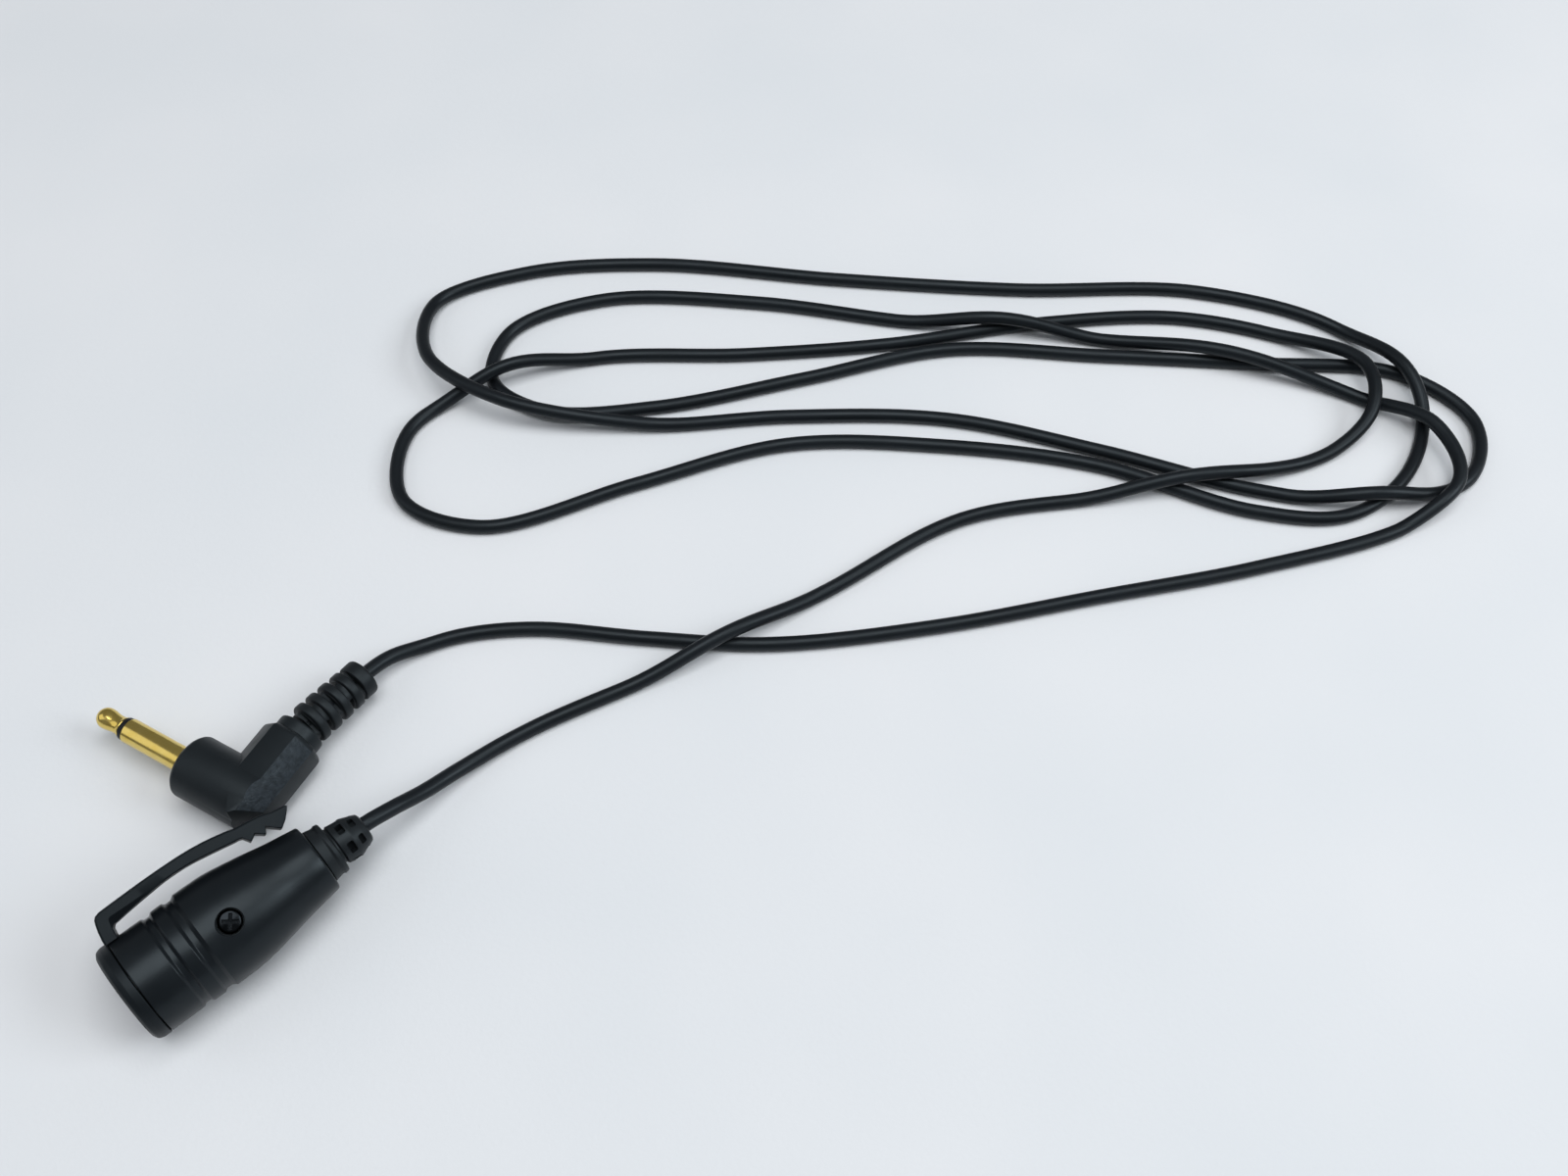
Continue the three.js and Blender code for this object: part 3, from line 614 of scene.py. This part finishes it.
def screw():
    profile = rounded([(5.15, 0), (5.15, 1.5), (6.1, 1.5, 0.45), (6.28, 0)], closed=False)
    head = lathe(profile, AROUND_SMALL)
    upright = AT_SCREW @ Matrix.Rotation(math.radians(-90), 4, "Y")
    bmesh.ops.transform(head, matrix=upright, verts=head.verts)
    slots = []
    for turn in (53, 143):
        matrix = AT_SCREW @ Matrix.Rotation(math.radians(turn), 4, "Z")
        slots.append(cuboid((-1.02, -0.24, 5.4), (1.02, 0.24, 7), matrix))
    slots.append(cylinder(0.45, 5.4, 7, AT_SCREW, 4))
    head = combine(head, slots, "DIFFERENCE")
    piece = new_piece("cross_screw", head, MICROPHONE, BLACK_STEEL)
    return finish_piece(piece, "microphone", "black_steel", "shell_screw")


# Cross sections of the clip, each as three points (x, y): the outer face, the inner edge of
# its sides and the underside.
CLIP_ROOT = [
    ((1.7, 5.7), (3.5, 5.7), (3.5, 5.7)), ((1.78, 7.0), (3.5, 6.9), (3.5, 6.9)),
    ((2.0, 8.2), (3.62, 7.6), (3.62, 7.6)), ((2.25, 9.1), (3.75, 8.2), (3.85, 7.85)),
    ((2.45, 9.6), (3.85, 8.6), (3.98, 7.93)), ((2.75, 9.93), (4.0, 8.78), (4.1, 7.95)),
    ((3.3, 10.12), (4.3, 8.82), (4.35, 7.97)),
]
CLIP_ARM = [
    ((4.4, 10.17), (4.8, 8.8), (4.8, 8.02)), ((6.1, 10.22), (6.1, 8.76), (6.1, 8.2)),
    ((8.9, 10.28), (8.9, 8.74), (8.9, 8.5)), ((11.7, 10.28), (11.7, 8.76), (11.7, 8.7)),
    ((14.5, 10.2), (14.5, 8.64), (14.5, 8.6)), ((17.2, 9.94), (17.2, 8.24), (17.2, 8.2)),
    ((20.0, 9.4), (20.0, 7.74), (20.0, 7.7)), ((21.0, 9.12), (20.95, 7.6), (20.95, 7.57)),
]
# The teeth's sections, as the outer face and the underside.
CLIP_TEETH = [
    ((21.5, 9.02), (21.4, 7.4)), ((22.0, 8.95), (21.93, 6.5)), ((22.15, 8.93), (22.05, 6.5)),
    ((22.9, 8.85), (22.85, 6.98)), ((23.7, 8.72), (23.76, 6.18)), ((23.9, 8.68), (23.9, 6.18)),
    ((24.4, 8.6), (24.35, 6.92)), ((25.2, 8.35), (25.7, 5.66)), ((25.7, 8.16), (25.9, 5.64)),
    ((26.4, 8.02), (26.75, 6.25)), ((27.2, 7.88), (27.45, 7.0)), ((27.75, 7.72), (27.82, 7.5)),
]
CLIP_HALF_WIDTH = 2.5


def clip_sections():
    arm = [tuple(v for pair in section for v in pair) for section in CLIP_ARM]
    smooth = [(section[0:2], section[2:4], section[4:6]) for section in smooth_line(arm, 4)]
    teeth = [(outer, (x, y + 0.03), (x, y)) for outer, (x, y) in CLIP_TEETH]
    return [*CLIP_ROOT, *smooth, *teeth]


def clip_blade():
    """The clip's root and arm: cross sections with rounded outer edges and, near the root, an
    inner side cut back on the slant, skinned along their length."""
    bm = bmesh.new()
    rings = []
    for outer, side, under in clip_sections():
        outer, side, under = Vector(outer), Vector(side), Vector(under)
        down = under - outer
        edge = down.normalized() * min(0.28, 0.3 * down.length)
        inner_half = CLIP_HALF_WIDTH - max(0.9 * (under - side).length, 0.12)
        quarter = [
            (outer, CLIP_HALF_WIDTH - 0.45), (outer + edge * 0.3, CLIP_HALF_WIDTH - 0.14),
            (outer + edge, CLIP_HALF_WIDTH), (side - edge * 0.4, CLIP_HALF_WIDTH),
            (under, inner_half),
        ]
        points = [(p, w) for p, w in quarter] + [(p, -w) for p, w in reversed(quarter)]
        rings.append([bm.verts.new((p.x, p.y, w)) for p, w in points])
    count = len(rings[0])
    for here, there in zip(rings, rings[1:]):
        for i in range(count):
            j = (i + 1) % count
            bm.faces.new([here[i], here[j], there[j], there[i]])
    bm.faces.new(rings[0])
    bm.faces.new(rings[-1][::-1])
    return bm


def ring_profile():
    return rounded([
        (0.05, 4.9, 0.15), (0, 5.75, 0.5), (0.35, 6.4, 0.6), (1.0, 6.62, 0.5),
        (1.93, 6.62, 0.12), (1.98, 6.5), (1.98, 5.5), (1.8, 5.5), (1.8, 6.05), (0.45, 6.05),
        (0.45, 4.9, 0.12),
    ])


def clip():
    ring = lathe(ring_profile(), AROUND)
    blade = clip_blade()
    over_shell = cylinder(6.84, 1.99, 12, Matrix.Rotation(math.radians(90), 4, "Y"), AROUND)
    in_ring = cylinder(6.2, -1, 2.1, Matrix.Rotation(math.radians(90), 4, "Y"), AROUND)
    blade = combine(blade, [over_shell, in_ring], "DIFFERENCE")
    whole = combine(ring, [blade], "UNION")
    piece = new_piece("clip", whole, MICROPHONE, CLIP)
    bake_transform(piece)
    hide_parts("clip_ring", "clip_arm")
    return piece


NOSE_START = 29.6
NOSE_DROP = 0.28                    # how far the cord has pulled the nose off the barrel's axis


def microphone_relief():
    """The strain relief: a collar with a raised lip and a nose with two rows of six windows."""
    body = lathe(rounded([
        (24.2, 1.35), (24.2, 3.55), (25.3, 3.55), (25.3, 2.5), (BARREL_LENGTH + 0.12, 2.5),
        (BARREL_LENGTH + 0.12, 3.75, 0.12), (28.65, 3.5, 0.3), (28.95, 3.66, 0.15),
        (29.5, 3.55, 0.2), (NOSE_START, 2.6, 0.1), (29.85, 2.55), (30.05, 2.8, 0.12),
        (31.9, 2.82, 0.7), (33.2, 2.35, 0.5), (33.95, 2.0, 0.3), (MIC_RELIEF_END, 1.7, 0.1),
        (MIC_RELIEF_END, 1.35),
    ]), AROUND_SMALL)
    windows = []
    for front, rear, half in ((30.75, 31.7, 0.8), (32.45, 33.2, 0.68)):
        for number in range(6):
            turn = Matrix.Rotation(math.radians(25 + 60 * number), 4, "X")
            window = cuboid((front, -half, 1.5), (rear, half, 4), turn)
            upright = [e for e in window.edges
                       if (e.verts[0].co - e.verts[1].co).length > 2.4]
            bmesh.ops.bevel(window, geom=upright, offset=0.22, segments=3, profile=0.5,
                            affect="EDGES")
            windows.append(window)
    body = combine(body, windows, "DIFFERENCE")
    bore_r = 1.4
    for vertex in body.verts:
        if vertex.co.x > NOSE_START and vertex.co.yz.length > bore_r:
            vertex.co.y -= NOSE_DROP * min((vertex.co.x - NOSE_START) / 1.2, 1)
    piece = new_piece("microphone_relief", body, MICROPHONE, RELIEF)
    return finish_piece(piece, "microphone", "soft_black", "mic_strain_relief")


# ---- The plug -----------------------------------------------------------------------------------

def pin():
    ball = smooth_line([(0.3, 0), (0.38, 0.5), (0.75, 1.08), (1.4, 1.44), (2.2, 1.46),
                        (3.3, 1.29), (4.2, 1.33), (4.6, 1.48)], 5)
    rod_end = PLUG_FACE + 3.4
    tip = lathe([*ball, (4.7, 1.5), (4.76, 1.47), (4.76, 0.6), (rod_end, 0.6), (rod_end, 0)],
                AROUND_SMALL)
    tip = finish_piece(new_piece("pin_tip", tip, PLUG, GOLD, 45), "microphone", "gold_plating",
                       "plug_tip")
    flange, rear = PLUG_FACE + 0.8, PLUG_FACE + 2.1
    sleeve = lathe(rounded([
        (5.58, 1.2), (5.58, PIN_R, 0.12), (flange, PIN_R), (flange, 2.7), (rear, 2.7),
        (rear, 1.2),
    ]), AROUND_SMALL)
    sleeve = finish_piece(new_piece("pin_sleeve", sleeve, PLUG, GOLD), "microphone",
                          "gold_plating", "plug_sleeve")
    gap = lathe(rounded([
        (4.86, 0.75), (4.86, 1.6, 0.06), (5.48, 1.66, 0.06), (5.48, 1.05),
        (PLUG_FACE + 2.7, 1.05), (PLUG_FACE + 2.7, 0.75),
    ]), AROUND_SMALL)
    gap = finish_piece(new_piece("pin_insulator", gap, PLUG, INSULATOR), "microphone",
                       "insulator", "plug_insulator")
    return [tip, sleeve, gap]


def bar_of_section(outline, low, high):
    """A straight bar along Y whose section is an outline in the XZ plane."""
    bar = prism(outline, low, high)
    to_y = Matrix(((1, 0, 0, 0), (0, 0, 1, 0), (0, 1, 0, 0), (0, 0, 0, 1)))
    bmesh.ops.transform(bar, matrix=to_y, verts=bar.verts)
    return bar


ROOM = 20                           # reach of a tool that cuts right through the plug


def plug_solid():
    """The round part about the pin, run together with the eight-sided block across it, both cut
    to the block's three outer faces and to the slanted cut that takes their corner off."""
    flat = BLOCK_INRADIUS * math.tan(math.pi / 8)
    inner, outer = BLOCK_X - BLOCK_INRADIUS, BLOCK_X + BLOCK_INRADIUS
    front = lathe(rounded([
        (PLUG_FACE, 0), (PLUG_FACE, 3.9, 0.6), (PLUG_FACE + 0.55, PLUG_R, 0.6),
        (outer + 1, PLUG_R), (outer + 1, 0),
    ], closed=False, steps=6), AROUND_SMALL, start=math.pi / AROUND_SMALL)
    block = bar_of_section([
        (inner, -flat), (BLOCK_X - flat, -BLOCK_INRADIUS), (outer + 3, -BLOCK_INRADIUS),
        (outer + 3, BLOCK_INRADIUS), (BLOCK_X - flat, BLOCK_INRADIUS), (inner, flat),
    ], BLOCK_LOW, BLOCK_HIGH)
    start, end = -1.4, BLOCK_X + 1.1
    run_out = prism([(inner - 1, start), (BLOCK_X - 0.7, start), (end, BLOCK_LOW - 0.1),
                     (end, -ROOM), (inner - 1, -ROOM)], -ROOM, ROOM)
    outer_faces = bar_of_section([
        (0, -BEVEL_RISE), (BLOCK_X, -BEVEL_RISE), (outer, -flat), (outer, flat),
        (BLOCK_X, BEVEL_RISE), (0, BEVEL_RISE),
    ], -ROOM, ROOM)
    at_corner = (Matrix.Translation((CORNER_CUT_X, -PLUG_R, 0))
                 @ Matrix.Rotation(math.radians(45), 4, "Z"))
    reach = 9
    corner = cuboid((-reach, -reach, -reach), (reach, 0, reach), at_corner)
    block = combine(block, [run_out], "DIFFERENCE")
    body = combine(front, [block], "UNION")
    body = combine(body, [outer_faces], "INTERSECT")
    return combine(body, [corner], "DIFFERENCE")


def soften_edges(body):
    """Chamfers the block's far end and rounds the moulding's other outward corners."""
    bmesh.ops.dissolve_limit(body, angle_limit=math.radians(0.5), verts=body.verts,
                             edges=body.edges)
    end = [e for e in body.edges if all(v.co.y > BLOCK_HIGH - 0.01 for v in e.verts)]
    bmesh.ops.bevel(body, geom=end, offset=0.85, segments=4, profile=0.5, affect="EDGES")
    sharp = [e for e in body.edges
             if len(e.link_faces) == 2 and e.is_convex and e.calc_face_angle() > 0.5]
    bmesh.ops.bevel(body, geom=sharp, offset=0.16, segments=2, profile=0.5, affect="EDGES",
                    clamp_overlap=True)
    return body


def plug_moulding():
    body = soften_edges(plug_solid())
    to_y = Matrix.Translation((BLOCK_X, 0, 0)) @ Matrix.Rotation(math.radians(90), 4, "Z")
    collar = lathe(rounded([(BLOCK_HIGH - 2, 0), (BLOCK_HIGH - 2, 3.3), (COLLAR_END, 3.3, 0.35),
                            (COLLAR_END, 0)], closed=False), AROUND_SMALL)
    bmesh.ops.transform(collar, matrix=to_y, verts=collar.verts)
    body = combine(body, [collar], "UNION")
    cavity, cavity_end = PLUG_FACE + 0.6, BLOCK_X + 1.3
    contacts = lathe([(cavity, 0), (cavity, 3), (cavity_end, 3), (cavity_end, 0)], AROUND_SMALL)
    pin_bore = lathe([(PLUG_FACE - 1, 0), (PLUG_FACE - 1, 1.83), (PLUG_FACE + 1, 1.83),
                      (PLUG_FACE + 1, 0)], AROUND_SMALL)
    cord_bore = cylinder(1.35, -13, 0, to_y @ Matrix.Rotation(math.radians(-90), 4, "Y"))
    body = combine(body, [contacts, pin_bore, cord_bore], "DIFFERENCE")
    piece = new_piece("plug_moulding", body, PLUG, PLUG_BODY, 25)
    roughen_bevel(piece)
    return finish_piece(piece, "microphone", "plug_plastic", "plug_body")


def roughen_bevel(piece):
    """Gives the block's upper outer bevel its fine texture."""
    piece.data.materials.append(PLUG_TEXTURE)
    outward = (PLUG.to_3x3() @ Vector((1, 0, 1))).normalized()
    for face in piece.data.polygons:
        local = PLUG.inverted() @ face.center
        if face.normal.dot(outward) > 0.99 and local.y < BLOCK_HIGH - 0.5:
            face.material_index = 1


def plug_boot():
    """The ribbed strain relief: five rounded ribs on a core, with staggered windows between."""
    length = (PLUG_RELIEF_END - PLUG_RELIEF_START).length
    ribs = [(1.4, 0.66, 3.0), (3.5, 0.66, 2.97), (5.65, 0.66, 2.9), (7.8, 0.66, 2.82)]
    core = 2.25
    profile = [(0, 1.35), (0, core)]
    for middle, half, radius in ribs:
        profile += [(middle - half, core, 0.1), (middle - half, radius, 0.4),
                    (middle + half, radius, 0.4), (middle + half, core, 0.1)]
    profile += [(9.05, core, 0.1), (9.05, 2.72, 0.3), (length, 2.75, 0.5), (length, 1.2),
                (length - 0.8, 1.35)]
    bm = lathe(rounded(profile), AROUND_SMALL)
    windows = []
    gaps = [0.35, 2.45, 4.58, 6.72, 8.75]
    for number, middle in enumerate(gaps):
        for side in (0, 180):
            turn = Matrix.Rotation(math.radians(90 * (number % 2) + side + 25), 4, "X")
            windows.append(cuboid((middle - 0.32, -1.75, 1.3), (middle + 0.32, 1.75, 4), turn))
    bm = combine(bm, windows, "DIFFERENCE")
    along = (PLUG_RELIEF_END - PLUG_RELIEF_START).to_track_quat("X", "Z").to_matrix().to_4x4()
    piece = new_piece("plug_boot", bm, PLUG @ Matrix.Translation(PLUG_RELIEF_START) @ along, RELIEF)
    return finish_piece(piece, "microphone", "soft_black", "plug_strain_relief")


# ---- Pieces that stay as the CAD made them ------------------------------------------------------

CAD_MATERIALS = {
    "front_grille": GRILLE, "wind_foam_disc": FOAM, "capsule_boot": RELIEF,
    "capsule_can": ALUMINIUM, "capsule_diaphragm": GOLD_FILM, "capsule_backplate": ALUMINIUM,
    "capsule_chamber_ring": INSULATOR, "capsule_transistor": INSULATOR,
    "capsule_circuit_board": BOARD, "signal_wire": RED_WIRE, "ground_wire": BARE_WIRE,
    "plug_tip_lug": GOLD, "plug_sleeve_lug": GOLD, "plug_signal_wire": RED_WIRE,
    "plug_ground_wire": BARE_WIRE,
}


def paint_cad():
    for node, material in CAD_MATERIALS.items():
        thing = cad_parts[node]
        thing.data.materials.clear()
        thing.data.materials.append(material)


# ---- Build --------------------------------------------------------------------------------------

add_camera()
add_studio()

line = cord_line()
cord = add_cord("microphone_cord", line)
finish_piece(cord, "microphone", "cord_jacket", "cord", "cord_end_in_mic", "cord_end_in_plug")

shell("barrel_upper", with_screw_hole(half_shell(0.0)), "upper_shell")
shell("barrel_lower", half_shell(math.pi), "lower_shell")
screw()
clip()
microphone_relief()
plug_pieces = [*pin(), plug_moulding(), plug_boot()]
paint_cad()
